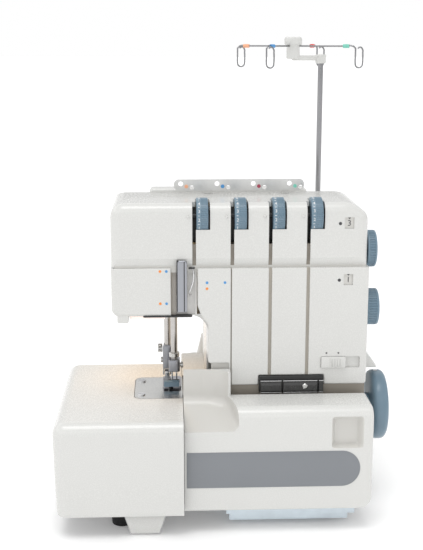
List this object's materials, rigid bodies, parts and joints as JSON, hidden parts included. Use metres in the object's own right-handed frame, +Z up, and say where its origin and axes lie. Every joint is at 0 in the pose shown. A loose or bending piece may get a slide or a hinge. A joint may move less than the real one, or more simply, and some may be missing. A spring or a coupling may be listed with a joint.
{
  "type": "serger overlock machine",
  "caption": "Household overlock sewing machine with slide-off table, swing-down looper cover, tension dials, handwheel and telescopic thread guide.",
  "frame": {"origin": "on the table surface, in the middle of the machine's plan outline", "axes": "+Z up, -Y the front (operator side), +X the handwheel side"},
  "size_m": [0.3368, 0.3, 0.475],
  "materials": {
    "white_plastic": "glossy moulded off-white",
    "blue_plastic": "satin blue-grey",
    "cast_metal": "cast, matt",
    "zinc": "zinc plated sheet",
    "steel": "polished",
    "chrome": "bright",
    "black_plastic": "satin black",
    "rubber": "matt",
    "lamp_glass": "frosted warm",
    "dark_steel": "black painted",
    "sleeve_plastic": "coloured sleeves"
  },
  "bodies": {
    "machine": {"base_frame": "cast_metal", "base_plate": "zinc", "feet": "rubber", "arm_frame": "cast_metal", "top_cover": "white_plastic", "face_cover": "white_plastic", "column_cover": "white_plastic", "rear_cover": "white_plastic", "cover_screws": "steel", "side_cover": "white_plastic", "bed_plate": "white_plastic", "thread_guide_plate": "steel", "needle_thread_guard": "chrome", "face_thread_guide": "dark_steel", "looper_guide_block": "black_plastic", "needle_plate": "steel", "needle_plate_screws": "steel", "lower_knife": "steel", "motor": "black_plastic", "drive_belt": "rubber", "lamp": "lamp_glass", "power_inlet": "black_plastic", "tension_shaft": "steel", "scale_windows": "black_plastic", "handwheel_shroud": "white_plastic", "spool_stand": "white_plastic", "spool_pins": "steel", "cone_holders": "black_plastic", "pole_tube": "chrome"},
    "handwheel_shaft": {"handwheel": "blue_plastic", "main_shaft": "steel", "shaft_pulley": "steel"},
    "motor_rotor": {"motor_pulley": "steel"},
    "needle_drive": {"needle_bar": "chrome", "needle_clamp": "steel", "needles": "steel"},
    "upper_looper_arm": {"upper_looper": "steel"},
    "lower_looper_arm": {"lower_looper": "steel"},
    "knife_drive": {"upper_knife": "steel"},
    "feed": {"feed_dogs": "steel"},
    "presser": {"presser_bar": "chrome", "foot_holder": "steel", "presser_screw": "steel"},
    "foot": {"presser_foot": "steel"},
    "lifter": {"lifter_lever": "blue_plastic"},
    "dial_1": {"tension_dial_1": "blue_plastic"},
    "dial_2": {"tension_dial_2": "blue_plastic"},
    "dial_3": {"tension_dial_3": "blue_plastic"},
    "dial_4": {"tension_dial_4": "blue_plastic"},
    "length_dial": {"stitch_length_dial": "blue_plastic"},
    "diff_dial": {"differential_dial": "blue_plastic"},
    "slider": {"plate_slider": "white_plastic"},
    "cover_carriage": {"cover_hinge_bar": "steel"},
    "front_cover": {"looper_cover": "white_plastic"},
    "table": {"sewing_table": "white_plastic"},
    "rod": {"pole_rod": "chrome"},
    "head": {"guide_head": "white_plastic", "guide_hooks": "chrome", "hook_sleeves": "sleeve_plastic"},
    "switch": {"power_switch": "black_plastic"}
  },
  "joints": [
    {"name": "handwheel_turn", "type": "hinge", "parent": "machine", "child": "handwheel_shaft", "pos_m": [0.16, -0.045, 0.098], "axis": [1, 0, 0], "continuous": true},
    {"name": "motor_turn", "type": "hinge", "parent": "machine", "child": "motor_rotor", "pos_m": [0.11, 0.045, 0.067], "axis": [1, 0, 0], "continuous": true},
    {"name": "needle_bar_slide", "type": "slide", "parent": "machine", "child": "needle_drive", "axis": [0, 0, 1], "range_m": [0, 0.027]},
    {"name": "upper_looper_swing", "type": "hinge", "parent": "machine", "child": "upper_looper_arm", "pos_m": [-0.002, -0.034, 0.062], "axis": [0, -1, 0], "range_deg": [0, 12]},
    {"name": "lower_looper_swing", "type": "hinge", "parent": "machine", "child": "lower_looper_arm", "pos_m": [-0.002, -0.022, 0.05], "axis": [0, -1, 0], "range_deg": [-12, 0]},
    {"name": "upper_knife_slide", "type": "slide", "parent": "machine", "child": "knife_drive", "axis": [0, 0, 1], "range_m": [0, 0.01]},
    {"name": "feed_travel", "type": "slide", "parent": "machine", "child": "feed", "axis": [0, 1, 0], "range_m": [0, 0.003]},
    {"name": "presser_lift", "type": "slide", "parent": "machine", "child": "presser", "axis": [0, 0, 1], "range_m": [0, 0.006]},
    {"name": "foot_tilt", "type": "hinge", "parent": "presser", "child": "foot", "pos_m": [-0.061, -0.012, 0.126], "axis": [-1, 0, 0], "range_deg": [0, 8]},
    {"name": "lifter_turn", "type": "hinge", "parent": "machine", "child": "lifter", "pos_m": [-0.065, 0.09, 0.235], "axis": [1, 0, 0], "range_deg": [0, 60]},
    {"name": "tension_dial_1_turn", "type": "hinge", "parent": "machine", "child": "dial_1", "pos_m": [-0.026, -0.07003, 0.303], "axis": [1, 0, 0], "range_deg": [-135, 135]},
    {"name": "tension_dial_2_turn", "type": "hinge", "parent": "machine", "child": "dial_2", "pos_m": [0.0113, -0.07003, 0.303], "axis": [1, 0, 0], "range_deg": [-135, 135]},
    {"name": "tension_dial_3_turn", "type": "hinge", "parent": "machine", "child": "dial_3", "pos_m": [0.0486, -0.07003, 0.303], "axis": [1, 0, 0], "range_deg": [-135, 135]},
    {"name": "tension_dial_4_turn", "type": "hinge", "parent": "machine", "child": "dial_4", "pos_m": [0.0859, -0.07003, 0.303], "axis": [1, 0, 0], "range_deg": [-135, 135]},
    {"name": "stitch_length_turn", "type": "hinge", "parent": "machine", "child": "length_dial", "pos_m": [0.145, -0.06, 0.2675], "axis": [1, 0, 0], "range_deg": [-120, 120]},
    {"name": "differential_turn", "type": "hinge", "parent": "machine", "child": "diff_dial", "pos_m": [0.145, -0.06, 0.2075], "axis": [1, 0, 0], "range_deg": [-60, 60]},
    {"name": "hem_slider_slide", "type": "slide", "parent": "machine", "child": "slider", "axis": [1, 0, 0], "range_m": [0, 0.0138]},
    {"name": "cover_shift", "type": "slide", "parent": "machine", "child": "cover_carriage", "axis": [1, 0, 0], "range_m": [0, 0.006]},
    {"name": "cover_swing", "type": "hinge", "parent": "cover_carriage", "child": "front_cover", "pos_m": [0.04, -0.132, 0.03], "axis": [1, 0, 0], "range_deg": [0, 75]},
    {"name": "table_slide", "type": "slide", "parent": "machine", "child": "table", "axis": [-1, 0, 0], "range_m": [0, 0.13]},
    {"name": "rod_slide", "type": "slide", "parent": "machine", "child": "rod", "axis": [0, 0, -1], "range_m": [0, 0.12]},
    {"name": "guide_head_turn", "type": "hinge", "parent": "rod", "child": "head", "pos_m": [0.112, 0.1, 0.45], "axis": [0, 0, 1], "range_deg": [-60, 60]},
    {"name": "switch_rock", "type": "hinge", "parent": "machine", "child": "switch", "pos_m": [0.1345, 0.062, 0.0835], "axis": [0, 1, 0], "range_deg": [-8, 8]}
  ],
  "couplings": [
    {"joint": "motor_turn", "follows": "handwheel_turn", "ratio": 3.3333},
    {"joint": "upper_looper_swing", "follows": "needle_bar_slide", "rad_per_m": 7.7182},
    {"joint": "lower_looper_swing", "follows": "needle_bar_slide", "rad_per_m": -7.7182},
    {"joint": "upper_knife_slide", "follows": "needle_bar_slide", "ratio": 0.37},
    {"joint": "feed_travel", "follows": "needle_bar_slide", "ratio": 0.11},
    {"joint": "lifter_turn", "follows": "presser_lift", "rad_per_m": 173.66}
  ]
}
